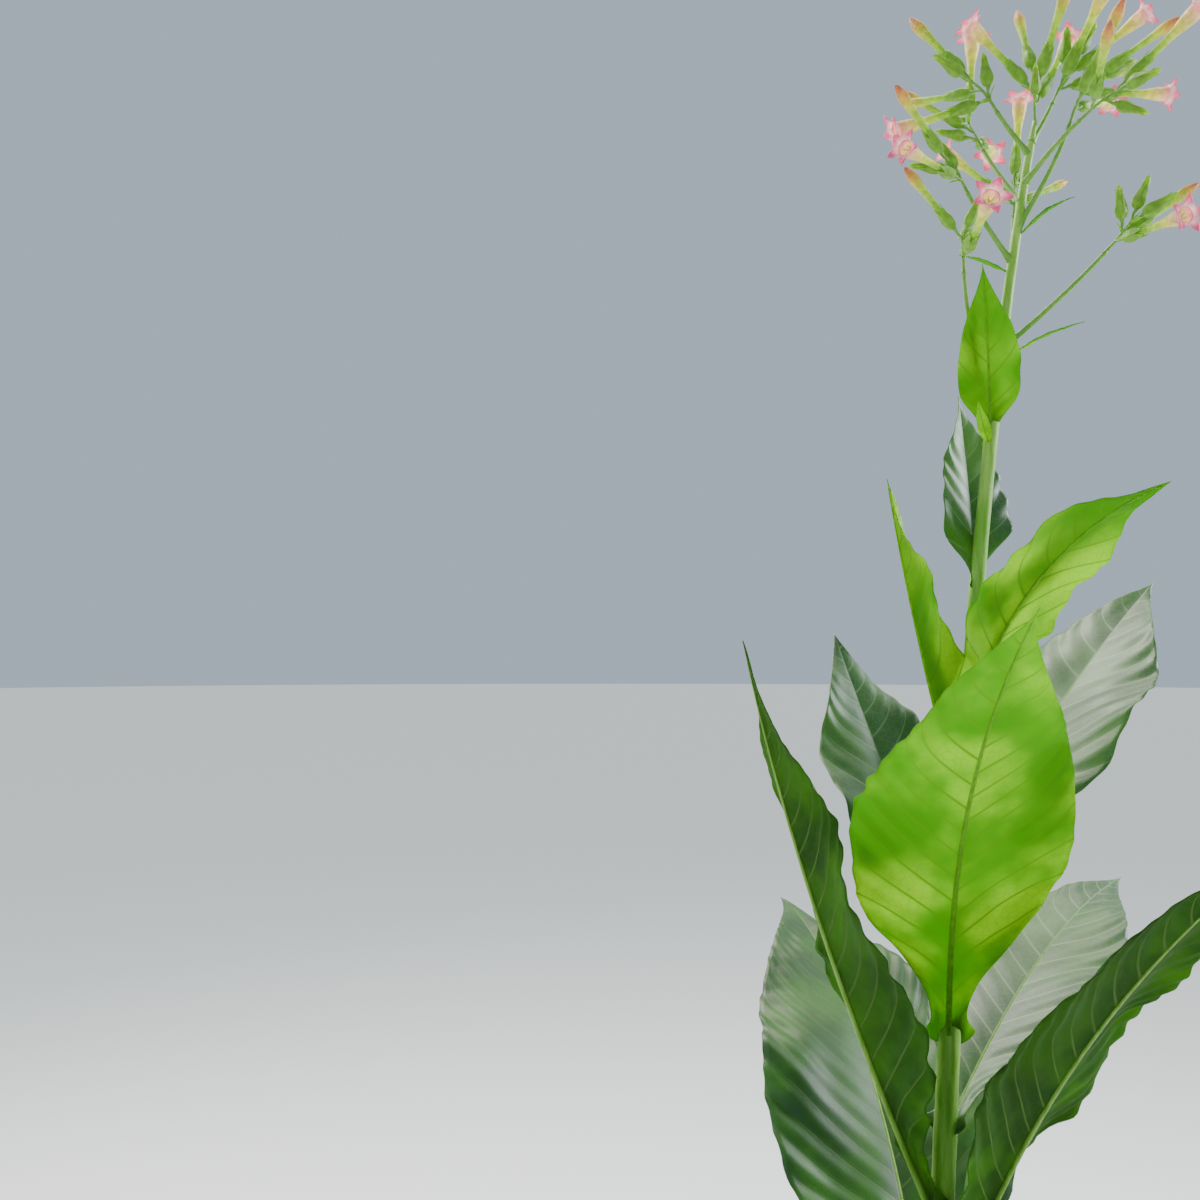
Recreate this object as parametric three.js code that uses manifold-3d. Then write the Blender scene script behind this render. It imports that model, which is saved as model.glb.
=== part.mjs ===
// A flowering tobacco plant, whole, rooted in level ground.
// Millimetres, +Z up. The origin is the centre of the flat cut under the stem.
// An azimuth is in degrees about +Z from +X. A rise is in degrees above the horizontal.
import * as THREE from 'three';
import { mergeVertices } from 'three/addons/utils/BufferGeometryUtils.js';
import Module from 'manifold-3d';

const wasm = await Module();
wasm.setup();

// The stem leans to +X, mostly in its top quarter, and bows a little along Y.
const STEM_TOP = 1610;
const STEM_RADIUS = 12.5;
const STEM_TIP_RADIUS = 2.3;
const STEM_TAPER_POWER = 1.1;
const STEM_LEAN = 0.03;
const STEM_NOD = 36;
const STEM_NOD_POWER = 7;
const STEM_BOW = 8;
const STEM_BOW_SPAN = 1100;
const FLARE_RADIUS = 8;
const FLARE_HEIGHT = 28;

// Clearance left between a limb or leaf and what carries it
const GAP = 0.3;
const GOLDEN_ANGLE = 137.5;
const RANDOM_SEED = 41;

// A limb or rib bends most towards its tip, and a blade turns about its rib the same way
const BEND_POWER = 1.3;
const ROLL_POWER = 1.2;

// Blade section: thickness and rib as shares of the leaf's length, the least thickness in mm
const BLADE_THICKNESS = 0.011;
const LEAST_THICKNESS = 1.1;
const RIB_DEPTH = 0.012;

// Blade outline: half widths as shares of the widest, and places as shares of the length.
// A wing runs down to the foot, where an ear clasps the stem.
const PETIOLE_WING = 0.17;
const WING_ENDS = [0.05, 0.3];
const EAR = 0.12;
const EAR_LENGTH = 0.03;
const TIP_WIDTH = 0.015;
const BROADEST_SHIFT = 0.82;
const DRAWN_OUT = [0.85, 0.5];

// Edge waves and the downward curl of the edges, as shares of the leaf's width
const RIPPLE = 0.035;
const LONG_LEAF = 150;
const LONG_LEAF_WAVES = 3;
const SHORT_LEAF_WAVES = 2;
const PHASE_STEP = 2.4;
const SIDE_PHASE = 1.9;
const CURL = 0.16;
const PLAIN_FOLD = 10;

// The ten upper leaves, from the top down. z is the height of the leaf's foot on the stem,
// rise and tip are the blade's rise at its foot and tip, swing is its sideways curve,
// roll turns the blade about its rib and fold lifts its two halves. A blade with a higher
// broadest is widest nearer its middle.
const UPPER_LEAVES = [
  { z: 1433, az: 257, length: 97, width: 34, rise: 75, tip: 80, swing: -24, roll: 0, fold: 14 },
  { z: 1357, az: 97, length: 108, width: 46, rise: 82, tip: 82, swing: 30, roll: 0, fold: 20 },
  { z: 1287, az: 318, length: 167, width: 84, rise: 71, tip: 18, swing: 2, roll: -24, fold: 8 },
  { z: 1240, az: 185, length: 181, width: 66, rise: 75, tip: 80, swing: 5, roll: -26, fold: 34 },
  { z: 1204, az: 20, length: 226, width: 114, rise: 55, tip: 33, swing: 16, roll: 14, fold: 12 },
  { z: 1160, az: 131, length: 199, width: 90, rise: 65, tip: 56, swing: -20, roll: -8, fold: 14 },
  { z: 1113, az: 255, length: 281, width: 110, rise: 65, tip: 43, swing: 27, roll: 2, fold: 10, broadest: 1 },
  { z: 1066, az: 44, length: 252, width: 104, rise: 42, tip: 5, swing: 2, roll: 12, fold: 10 },
  { z: 1014, az: 190, length: 335, width: 116, rise: 66, tip: 77, swing: 6, roll: -4, fold: 22 },
  { z: 956, az: 327, length: 328, width: 124, rise: 71, tip: 42, swing: -3, roll: -30, fold: 14 },
];

// The lower leaves follow a spiral down the stem. They are longest at mid height,
// and the lower they stand, the flatter they leave the stem and the more they droop.
const LOWER_LEAVES = 13;
const LOWER_TOP = 932;
const LOWER_FOOT = 150;
const LOWER_AZIMUTH = 95;
const LOWER_LENGTHS = [356, 424, 312];
const LOWER_WIDTHS = [150, 192, 144];
const LOWER_RISES = [56, 34];
const LOWER_FOLDS = [10, 18];
const LOWER_TIPS = [-2, -44];

// Boughs of the blossom head, from the lowest up, each from the stem at height z
const BOUGH_RADIUS = 1.6;
const BOUGH_TIP_RADIUS = 1.1;
const BOUGHS = [
  { name: 'left_low', z: 1448, az: 206, length: 82, rise: 70, tip: 88 },
  { name: 'right_far', z: 1486, az: 348, length: 74, rise: 40, tip: 48 },
  { name: 'back_low', z: 1508, az: 66, length: 74, rise: 54, tip: 66 },
  { name: 'left', z: 1533, az: 190, length: 46, rise: 52, tip: 62 },
  { name: 'right', z: 1552, az: 342, length: 60, rise: 58, tip: 72 },
  { name: 'back_high', z: 1566, az: 118, length: 48, rise: 50, tip: 60 },
  { name: 'right_low', z: 1576, az: 312, length: 42, rise: 42, tip: 30 },
  { name: 'top_left', z: 1592, az: 176, length: 30, rise: 52, tip: 60 },
  { name: 'top_right', z: 1598, az: 24, length: 30, rise: 56, tip: 62 },
];

// Small leaves under the lower boughs
const BRACTS = [
  { name: 'bract_left_low', z: 1434, az: 240, length: 34, width: 7, rise: 30, tip: 55 },
  { name: 'bract_right_far', z: 1479, az: 350, length: 50, width: 10, rise: 34, tip: 12 },
  { name: 'bract_left', z: 1527, az: 176, length: 30, width: 6, rise: 30, tip: 10 },
  { name: 'bract_right', z: 1545, az: 340, length: 38, width: 7, rise: 50, tip: 12 },
];

// Blossom clusters, one on each bough's tip and one on the stem's. The axis is where its
// blossom faces, and the letters are its blooms from the foot of its twig to the end:
// O is an open flower, B a long bud and C a young bud still in its calyx.
const CLUSTERS = [
  { on: 'stem', az: 150, rise: 84, twig: 24, spread: 44, turn: 20, blooms: 'COOBBC' },
  { on: 'left_low', az: 250, rise: 76, twig: 16, spread: 62, turn: 292, blooms: 'OCBC' },
  { on: 'right_far', az: 302, rise: 48, twig: 18, spread: 52, turn: 240, blooms: 'OBCCC' },
  { on: 'back_low', az: 80, rise: 50, twig: 22, spread: 55, turn: 40, blooms: 'OBCOC' },
  { on: 'left', az: 190, rise: 34, twig: 18, spread: 42, turn: 330, blooms: 'OCCBC' },
  { on: 'right', az: 350, rise: 38, twig: 26, spread: 52, turn: 10, blooms: 'OBOCBC' },
  { on: 'back_high', az: 112, rise: 52, twig: 20, spread: 55, turn: 70, blooms: 'OCBOC' },
  { on: 'right_low', az: 318, rise: 14, twig: 20, spread: 55, turn: 160, blooms: 'BCOC' },
  { on: 'top_left', az: 166, rise: 34, twig: 20, spread: 58, turn: 300, blooms: 'OCBCB' },
  { on: 'top_right', az: 14, rise: 58, twig: 24, spread: 46, turn: 120, blooms: 'OBCOBC' },
];
const TWIG_RADIUS = 1.0;
const TWIG_TIP_RADIUS = 0.7;
const BLOOM_SIZES = [0.88, 1.08];
const TURN_JITTER = 15;
const TURN_STEP = 24;
const MOST_TURNS = 14;
const BLOOM_CLEARANCE = 1.2;
const SPREAD_CLOSING = 0.6;

// Outlines of the blooms: distance along the axis from the twig, and radius
const STALK = [[0, 0], [0.05, 0.8], [7, 0.9]];
const OUTLINES = {
  O: [...STALK, [9.5, 3.2], [17, 3.7], [25, 3.1], [25.4, 1.9], [38, 2.2], [48, 3.9], [54, 4.3],
    [56, 9.6], [56.8, 9], [54.5, 0]],
  B: [...STALK, [9.5, 3.0], [17, 3.5], [24, 2.8], [24.4, 1.8], [36, 2.2], [45, 3.1], [51, 1.8], [53.5, 0]],
  C: [...STALK, [9.5, 2.6], [16, 3.1], [22, 2.2], [27, 0]],
};
const BLOOM_SIDES = 5;

const stemMaterial = new THREE.MeshStandardMaterial({ color: '#7fa63c', roughness: 0.6, metalness: 0 });
const leafMaterial = new THREE.MeshStandardMaterial({ color: '#4d8f1c', roughness: 0.55, metalness: 0 });
const blossomMaterial = new THREE.MeshStandardMaterial({ color: '#d9a3a6', roughness: 0.5, metalness: 0 });

const radians = THREE.MathUtils.degToRad;
const mix = THREE.MathUtils.lerp;
const ease = (from, to, value) => THREE.MathUtils.smoothstep(value, from, to);

// A repeatable run of numbers between 0 and 1
function numbers(seed) {
  let state = seed;
  return () => {
    state = (state * 16807) % 2147483647;
    return state / 2147483647;
  };
}

// Centre of the stem at height z
function stemCentre(z) {
  const along = z / STEM_TOP;
  const x = STEM_LEAN * z + STEM_NOD * along ** STEM_NOD_POWER;
  return new THREE.Vector3(x, STEM_BOW * Math.sin(Math.PI * z / STEM_BOW_SPAN), z);
}

function stemRadius(z) {
  const taper = mix(STEM_RADIUS, STEM_TIP_RADIUS, (z / STEM_TOP) ** STEM_TAPER_POWER);
  return taper + FLARE_RADIUS * Math.exp(-z / FLARE_HEIGHT);
}

function heading(az, rise) {
  const level = Math.cos(radians(rise));
  return new THREE.Vector3(
    level * Math.cos(radians(az)), level * Math.sin(radians(az)), Math.sin(radians(rise)));
}

// Places along a limb or rib that leaves start in one direction and ends in another.
// Each has a point, the way on, the level sideways direction and the upper side's normal.
function course(start, part, steps) {
  const point = start.clone();
  const places = [];
  for (let i = 0; i <= steps; i++) {
    const s = i / steps;
    const az = part.az + (part.swing ?? 0) * s;
    const along = heading(az, mix(part.rise, part.tip, s ** BEND_POWER));
    const side = new THREE.Vector3(-Math.sin(radians(az)), Math.cos(radians(az)), 0);
    places.push({ point: point.clone(), along, side, up: along.clone().cross(side) });
    point.addScaledVector(along, part.length / steps);
  }
  return places;
}

// One closed mesh with shared corners, from a three.js geometry
function welded(geometry) {
  geometry.deleteAttribute('normal');
  geometry.deleteAttribute('uv');
  const merged = mergeVertices(geometry, 1e-4);
  const { array } = merged.index;
  const kept = [];
  for (let i = 0; i < array.length; i += 3) {
    const [a, b, c] = array.slice(i, i + 3);
    if (a !== b && b !== c && c !== a) kept.push(a, b, c);
  }
  merged.setIndex(kept);
  return merged;
}

function toSolid(geometry) {
  const mesh = welded(geometry);
  return new wasm.Manifold(new wasm.Mesh({
    numProp: 3,
    vertProperties: new Float32Array(mesh.attributes.position.array),
    triVerts: new Uint32Array(mesh.index.array),
  }));
}

function toGeometry(solid) {
  const { vertProperties, triVerts } = solid.getMesh();
  const geometry = new THREE.BufferGeometry();
  geometry.setAttribute('position', new THREE.BufferAttribute(new Float32Array(vertProperties), 3));
  geometry.setIndex(Array.from(triVerts));
  geometry.computeVertexNormals();
  return geometry;
}

function largestPiece(solid) {
  return solid.decompose().reduce((best, piece) => (piece.volume() > best.volume() ? piece : best));
}

function moveCorners(geometry, place) {
  const position = geometry.attributes.position;
  for (let i = 0; i < position.count; i++) {
    const { x, y, z } = place(position.getX(i), position.getY(i), position.getZ(i));
    position.setXYZ(i, x, y, z);
  }
  return geometry;
}

// The stem, its sections level, closer together towards the root flare
function stemGeometry(extra = 0) {
  const STEM_SIDES = 12;
  const STEM_STEPS = 30;
  const CROWDING = 1.5;
  const tube = new THREE.CylinderGeometry(1, 1, 1, STEM_SIDES, STEM_STEPS);
  return moveCorners(tube, (x, y, z) => {
    const height = STEM_TOP * (y + 0.5) ** CROWDING;
    const radius = stemRadius(height) + extra;
    return stemCentre(height).add(new THREE.Vector3(radius * z, radius * x, 0));
  });
}

// A round tapering limb along a course
function limbGeometry(places, radius, tipRadius, sides) {
  const steps = places.length - 1;
  const tube = new THREE.CylinderGeometry(1, 1, 1, sides, steps);
  return moveCorners(tube, (x, y, z) => {
    const { point, along, side } = places[Math.round((y + 0.5) * steps)];
    const thick = mix(radius, tipRadius, y + 0.5);
    const front = side.clone().cross(along);
    return point.clone().addScaledVector(front, thick * z).addScaledVector(side, thick * x);
  });
}

// Half width of a blade as a share of its widest, s along it from foot to tip:
// eared at the foot, winged, broadest before the middle and drawn out to a point
function bladeOutline(s, shift) {
  const body = Math.sin(Math.PI * s ** shift) ** (DRAWN_OUT[0] + DRAWN_OUT[1] * s);
  const open = ease(...WING_ENDS, s);
  const foot = PETIOLE_WING * (1 - open) + EAR * Math.exp(-((s / EAR_LENGTH) ** 2));
  return Math.max(body * open + foot, TIP_WIDTH);
}

// A point of a leaf: v runs from -1 to 1 across the blade, lift is off its middle surface
function bladePoint(leaf, place, s, v, lift) {
  const roll = radians(leaf.roll ?? 0) * s ** ROLL_POWER;
  const side = place.side.clone().multiplyScalar(Math.cos(roll)).addScaledVector(place.up, Math.sin(roll));
  const up = place.up.clone().multiplyScalar(Math.cos(roll)).addScaledVector(place.side, -Math.sin(roll));
  const half = 0.5 * leaf.width * bladeOutline(s, leaf.broadest ?? BROADEST_SHIFT);
  const fold = radians(leaf.fold ?? PLAIN_FOLD);
  const out = half * v;
  const wave = Math.sin(2 * Math.PI * (leaf.waves ?? 0) * s + (v > 0 ? 0 : SIDE_PHASE) + (leaf.phase ?? 0));
  const ripple = (leaf.ripple ?? 0) * leaf.width * Math.abs(v) ** 1.5 * Math.sin(Math.PI * s) ** 0.5 * wave;
  const curl = -CURL * half * v * v;
  return place.point.clone()
    .addScaledVector(side, out * Math.cos(fold) - Math.sign(v) * lift * Math.sin(fold))
    .addScaledVector(up, Math.abs(out) * Math.sin(fold) + lift * (v ? Math.cos(fold) : 1) + ripple + curl);
}

function leafGeometry(leaf, start) {
  const CROSS_STEPS = 4;
  const LONG_STEPS = 12;
  const FINE = 8;
  const places = course(start, leaf, LONG_STEPS * FINE);
  const thickness = Math.max(leaf.length * BLADE_THICKNESS, LEAST_THICKNESS);
  const slab = new THREE.BoxGeometry(2, 1, 2, CROSS_STEPS, LONG_STEPS, 1);
  return moveCorners(slab, (x, y, z) => {
    const s = 0.5 - 0.5 * Math.cos(Math.PI * (y + 0.5));
    const place = places[Math.round(s * LONG_STEPS * FINE)];
    const rib = x === 0 && z < 0 ? RIB_DEPTH * leaf.length * (1 - s) ** 1.5 : 0;
    return bladePoint(leaf, place, s, -x, z * thickness / 2 - rib);
  });
}

function lowerLeaves() {
  const random = numbers(RANDOM_SEED);
  const jitter = (size) => (random() - 0.5) * 2 * size;
  const between = ([top, middle, foot], t) => (t < 0.5 ? mix(top, middle, 2 * t) : mix(middle, foot, 2 * t - 1));
  return Array.from({ length: LOWER_LEAVES }, (_, i) => {
    const t = i / (LOWER_LEAVES - 1);
    return {
      z: mix(LOWER_TOP, LOWER_FOOT, t) + jitter(8),
      az: LOWER_AZIMUTH + GOLDEN_ANGLE * i + jitter(9),
      length: between(LOWER_LENGTHS, t) + jitter(14),
      width: between(LOWER_WIDTHS, t) + jitter(7),
      rise: mix(...LOWER_RISES, t) + jitter(5),
      tip: mix(...LOWER_TIPS, t) + jitter(9),
      swing: jitter(12),
      roll: jitter(12),
      fold: mix(...LOWER_FOLDS, random()),
    };
  });
}

// All leaves from the top down, each with its own edge waves
function allLeaves() {
  return [...UPPER_LEAVES, ...lowerLeaves()].map((leaf, i) => ({
    ...leaf,
    name: `leaf_${String(i + 1).padStart(2, '0')}`,
    ripple: RIPPLE,
    waves: leaf.length > LONG_LEAF ? LONG_LEAF_WAVES : SHORT_LEAF_WAVES,
    phase: PHASE_STEP * i,
  }));
}

function meshOf(name, solid, material) {
  const mesh = new THREE.Mesh(toGeometry(solid), material);
  mesh.name = name;
  return mesh;
}

// Balls along a line, which stand for a limb or bloom where blooms are kept apart
function ballsAlong(start, along, outline, size) {
  return outline.map(([distance, radius]) => ({
    centre: start.clone().addScaledVector(along, distance * size),
    radius: Math.max(radius * size, 1),
  }));
}

function touches(balls, others) {
  return balls.some((a) => others.some((b) => (
    a.centre.distanceTo(b.centre) < a.radius + b.radius + BLOOM_CLEARANCE)));
}

// A bloom turned about its own axis, standing on start and facing along
function bloomGeometry(kind, start, along, size) {
  const points = OUTLINES[kind].map(([distance, radius]) => new THREE.Vector2(radius * size, distance * size));
  const turned = new THREE.LatheGeometry(points, BLOOM_SIDES);
  const facing = new THREE.Quaternion().setFromUnitVectors(new THREE.Vector3(0, 1, 0), along);
  return turned.applyQuaternion(facing).translate(start.x, start.y, start.z);
}

// The directions that a cluster's blooms may take: round the cluster's axis, widest at its foot
function bloomHeading(cluster, turn, share) {
  const axis = heading(cluster.az, cluster.rise);
  const side = new THREE.Vector3(-Math.sin(radians(cluster.az)), Math.cos(radians(cluster.az)), 0);
  const up = axis.clone().cross(side);
  const tilt = radians(cluster.spread * (1 - SPREAD_CLOSING * share));
  return axis.multiplyScalar(Math.cos(tilt))
    .addScaledVector(side, Math.sin(tilt) * Math.cos(radians(turn)))
    .addScaledVector(up, Math.sin(tilt) * Math.sin(radians(turn)))
    .normalize();
}

// The twig of a cluster grows on the way its bough ends and turns to the cluster's axis
function clusterTwig(cluster, end, steps) {
  const swing = ((cluster.az - end.az + 540) % 360) - 180;
  const start = end.point.clone().addScaledVector(heading(end.az, end.rise), GAP);
  return course(start, { az: end.az, swing, rise: end.rise, tip: cluster.rise, length: cluster.twig }, steps);
}

// A twig with its blooms fused on. A bloom that would touch another turns on by a step,
// and is left out if it finds no room.
function clusterSolid(cluster, end, random, taken) {
  const TWIG_STEPS = 3;
  const TWIG_SIDES = 4;
  const twig = clusterTwig(cluster, end, TWIG_STEPS);
  let solid = toSolid(limbGeometry(twig, TWIG_RADIUS, TWIG_TIP_RADIUS, TWIG_SIDES));
  const own = [];
  [...cluster.blooms].forEach((kind, i) => {
    const share = i / (cluster.blooms.length - 1);
    const place = twig[Math.min(TWIG_STEPS, 1 + Math.floor(share * TWIG_STEPS))];
    const size = mix(...BLOOM_SIZES, random());
    let turn = cluster.turn + GOLDEN_ANGLE * i + 2 * TURN_JITTER * (random() - 0.5);
    for (let tries = 0; tries < MOST_TURNS; tries++) {
      const along = bloomHeading(cluster, turn, share);
      const balls = ballsAlong(place.point, along, OUTLINES[kind].slice(STALK.length), size);
      if (!touches(balls, taken) && !touches(balls, own)) {
        solid = solid.add(toSolid(bloomGeometry(kind, place.point, along, size)));
        own.push(...balls);
        break;
      }
      turn += TURN_STEP;
    }
  });
  taken.push(...own);
  return solid;
}

function plant() {
  const group = new THREE.Group();
  const stem = toSolid(stemGeometry());
  const clearOfStem = toSolid(stemGeometry(GAP));
  group.add(meshOf('stem', stem, stemMaterial));

  for (const leaf of allLeaves()) {
    const blade = toSolid(leafGeometry(leaf, stemCentre(leaf.z)));
    group.add(meshOf(leaf.name, largestPiece(blade.subtract(clearOfStem)), leafMaterial));
  }
  for (const bract of BRACTS) {
    const blade = toSolid(leafGeometry(bract, stemCentre(bract.z)));
    group.add(meshOf(bract.name, largestPiece(blade.subtract(clearOfStem)), leafMaterial));
  }

  const BOUGH_STEPS = 6;
  const BOUGH_SIDES = 7;
  const HEAD_STEP = 6;
  const ends = { stem: { point: stemCentre(STEM_TOP), az: 0, rise: 90 } };
  const taken = [];
  for (const bough of BOUGHS) {
    const places = course(stemCentre(bough.z), bough, BOUGH_STEPS);
    const limb = toSolid(limbGeometry(places, BOUGH_RADIUS, BOUGH_TIP_RADIUS, BOUGH_SIDES));
    group.add(meshOf(`bough_${bough.name}`, largestPiece(limb.subtract(clearOfStem)), stemMaterial));
    ends[bough.name] = { point: places[BOUGH_STEPS].point, az: bough.az, rise: bough.tip };
    for (const { point } of places.slice(1)) taken.push({ centre: point, radius: BOUGH_RADIUS });
  }
  for (let z = UPPER_LEAVES[0].z; z < STEM_TOP; z += HEAD_STEP) {
    taken.push({ centre: stemCentre(z), radius: stemRadius(z) });
  }

  const random = numbers(RANDOM_SEED + 1);
  for (const cluster of CLUSTERS) {
    const solid = clusterSolid(cluster, ends[cluster.on], random, taken);
    group.add(meshOf(`blossom_${cluster.on}`, solid, blossomMaterial));
  }
  return group;
}

export default plant();
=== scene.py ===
import math

import bpy
import numpy as np
from mathutils import Matrix, Vector, noise


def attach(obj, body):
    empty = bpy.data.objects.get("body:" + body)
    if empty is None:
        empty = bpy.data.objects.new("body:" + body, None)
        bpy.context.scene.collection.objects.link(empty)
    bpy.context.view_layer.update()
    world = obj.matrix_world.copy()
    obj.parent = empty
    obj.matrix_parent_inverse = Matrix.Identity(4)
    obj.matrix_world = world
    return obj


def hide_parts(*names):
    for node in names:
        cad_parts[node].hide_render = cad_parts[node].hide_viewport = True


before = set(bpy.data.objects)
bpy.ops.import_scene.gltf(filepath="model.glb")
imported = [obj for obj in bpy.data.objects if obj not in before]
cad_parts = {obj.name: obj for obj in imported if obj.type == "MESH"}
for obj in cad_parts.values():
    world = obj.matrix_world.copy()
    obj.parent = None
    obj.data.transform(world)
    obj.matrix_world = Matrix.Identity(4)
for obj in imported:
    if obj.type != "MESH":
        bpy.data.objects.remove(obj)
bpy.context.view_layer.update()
bpy.ops.object.select_all(action="DESELECT")

MM = 0.001

# Points nearer than this, in metres, are one point
SEAM = 1e-6

# The stem, as the part gives it: millimetres above the ground, and across
STEM_TOP = 1610
STEM_RADIUS = 12.5
STEM_TIP_RADIUS = 2.3
STEM_TAPER_POWER = 1.1
STEM_LEAN = 0.03
STEM_NOD = 36
STEM_NOD_POWER = 7
STEM_BOW = 8
STEM_BOW_SPAN = 1100
FLARE_RADIUS = 8
FLARE_HEIGHT = 28

# The seeded rule that places leaves and blooms, how limbs and blades bend and roll along their
# length, and the gap between a bough's tip and its cluster
GOLDEN_ANGLE = 137.5
RANDOM_SEED = 41
RANDOM_FACTOR = 16807
RANDOM_RANGE = 2147483647
BEND_POWER = 1.3
ROLL_POWER = 1.2
GAP = 0.3

# The blade's outline, edge waves and curl, as shares of its width or length
PETIOLE_WING = 0.17
WING_ENDS = (0.05, 0.3)
EAR = 0.12
EAR_LENGTH = 0.03
TIP_WIDTH = 0.005
BROADEST_SHIFT = 0.82
DRAWN_OUT = (0.85, 0.5)
RIPPLE = 0.035
LONG_LEAF = 150
LONG_LEAF_WAVES = 3
SHORT_LEAF_WAVES = 2
PHASE_STEP = 2.4
SIDE_PHASE = 1.9
CURL = 0.16
PLAIN_FOLD = 10

# The leaves that show, from the top: height, direction, size in mm and angles in degrees
LEAF_KEYS = ("z", "az", "length", "width", "rise", "tip", "swing", "roll", "fold", "broadest")
UPPER_LEAVES = [
    (1433, 257, 97, 34, 75, 80, -24, 0, 14, BROADEST_SHIFT),
    (1357, 97, 108, 46, 82, 82, 30, 0, 20, BROADEST_SHIFT),
    (1287, 318, 167, 84, 71, 18, 2, -24, 8, BROADEST_SHIFT),
    (1240, 185, 181, 66, 75, 80, 5, -26, 34, BROADEST_SHIFT),
    (1204, 20, 226, 114, 55, 33, 16, 14, 12, BROADEST_SHIFT),
    (1160, 131, 199, 90, 65, 56, -20, -8, 14, BROADEST_SHIFT),
    (1113, 255, 281, 110, 65, 43, 27, 2, 10, 1),
    (1066, 44, 252, 104, 42, 5, 2, 12, 10, BROADEST_SHIFT),
    (1014, 190, 335, 116, 66, 77, 6, -4, 22, BROADEST_SHIFT),
    (956, 327, 328, 124, 71, 42, -3, -30, 14, BROADEST_SHIFT),
]

# The leaves below them: their range from the highest to the lowest, and how far each may differ
LOWER_LEAVES = 13
LOWER_TOP = 932
LOWER_FOOT = 150
LOWER_AZIMUTH = 95
LOWER_LENGTHS = (356, 424, 312)
LOWER_WIDTHS = (150, 192, 144)
LOWER_RISES = (56, 34)
LOWER_TIPS = (-2, -44)
LOWER_FOLDS = (10, 18)
LOWER_JITTER = {"z": 8, "az": 9, "length": 14, "width": 7, "rise": 5, "tip": 9, "swing": 12, "roll": 12}

# Boughs of the blossom head: name, z, azimuth, length, rise at the foot and at the tip
BOUGHS = [
    ("left_low", 1448, 206, 82, 70, 88),
    ("right_far", 1486, 348, 74, 40, 48),
    ("back_low", 1508, 66, 74, 54, 66),
    ("left", 1533, 190, 46, 52, 62),
    ("right", 1552, 342, 60, 58, 72),
    ("back_high", 1566, 118, 48, 50, 60),
    ("right_low", 1576, 312, 42, 42, 30),
    ("top_left", 1592, 176, 30, 52, 60),
    ("top_right", 1598, 24, 30, 56, 62),
]
BOUGH_RADIUS = 1.6
BOUGH_TIP_RADIUS = 1.1
BOUGH_STEPS = 6

# Small leaves under boughs: name, z, azimuth, length, width, rise at the foot and at the tip
BRACTS = [
    ("left_low", 1434, 240, 34, 7, 30, 55),
    ("right_far", 1479, 350, 50, 10, 34, 12),
    ("left", 1527, 176, 30, 6, 30, 10),
    ("right", 1545, 340, 38, 7, 50, 12),
]

# Blossom clusters: bough, azimuth, rise, twig length, spread, turn and the blooms in order.
# O is an open flower, B a long bud and C a young bud still in its calyx.
CLUSTERS = [
    ("stem", 150, 84, 24, 44, 20, "COOBBC"),
    ("left_low", 250, 76, 16, 62, 292, "OCBC"),
    ("right_far", 302, 48, 18, 52, 240, "OBCCC"),
    ("back_low", 80, 50, 22, 55, 40, "OBCOC"),
    ("left", 190, 34, 18, 42, 330, "OCCBC"),
    ("right", 350, 38, 26, 52, 10, "OBOCBC"),
    ("back_high", 112, 52, 20, 55, 70, "OCBOC"),
    ("right_low", 318, 14, 20, 55, 160, "BCOC"),
    ("top_left", 166, 34, 20, 58, 300, "OCBCB"),
    ("top_right", 14, 58, 24, 46, 120, "OBCOBC"),
]
TWIG_RADIUS = 1.0
TWIG_TIP_RADIUS = 0.7
TWIG_STEPS = 3
BLOOM_SIZES = (0.88, 1.08)
TURN_JITTER = 15
TURN_STEP = 24
MOST_TURNS = 14
BLOOM_CLEARANCE = 1.2
SPREAD_CLOSING = 0.6
HEAD_STEP = 6

# Room that each kind of bloom takes: distance along its axis from the twig, and radius
ROOM = {
    "O": [(9.5, 3.2), (17, 3.7), (25, 3.1), (25.4, 1.9), (38, 2.2), (48, 3.9), (54, 4.3),
          (56, 9.6), (56.8, 9), (54.5, 0)],
    "B": [(9.5, 3.0), (17, 3.5), (24, 2.8), (24.4, 1.8), (36, 2.2), (45, 3.1), (51, 1.8), (53.5, 0)],
    "C": [(9.5, 2.6), (16, 3.1), (22, 2.2), (27, 0)],
}


def mix(a, b, t):
    return a + (b - a) * t


def ease(low, high, value):
    t = np.clip((value - low) / (high - low), 0, 1)
    return t * t * (3 - 2 * t)


def numbers(seed):
    """A repeatable run of numbers between 0 and 1."""
    state = seed
    while True:
        state = state * RANDOM_FACTOR % RANDOM_RANGE
        yield state / RANDOM_RANGE


def stem_centre(z):
    z = np.asarray(z, float)
    x = STEM_LEAN * z + STEM_NOD * (z / STEM_TOP) ** STEM_NOD_POWER
    return np.stack([x, STEM_BOW * np.sin(np.pi * z / STEM_BOW_SPAN), z], -1)


def stem_radius(z):
    z = np.asarray(z, float)
    taper = mix(STEM_RADIUS, STEM_TIP_RADIUS, (z / STEM_TOP) ** STEM_TAPER_POWER)
    return taper + FLARE_RADIUS * np.exp(-z / FLARE_HEIGHT)


def heading(az, rise):
    a, r = math.radians(az), math.radians(rise)
    return np.array([math.cos(r) * math.cos(a), math.cos(r) * math.sin(a), math.sin(r)])


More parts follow.
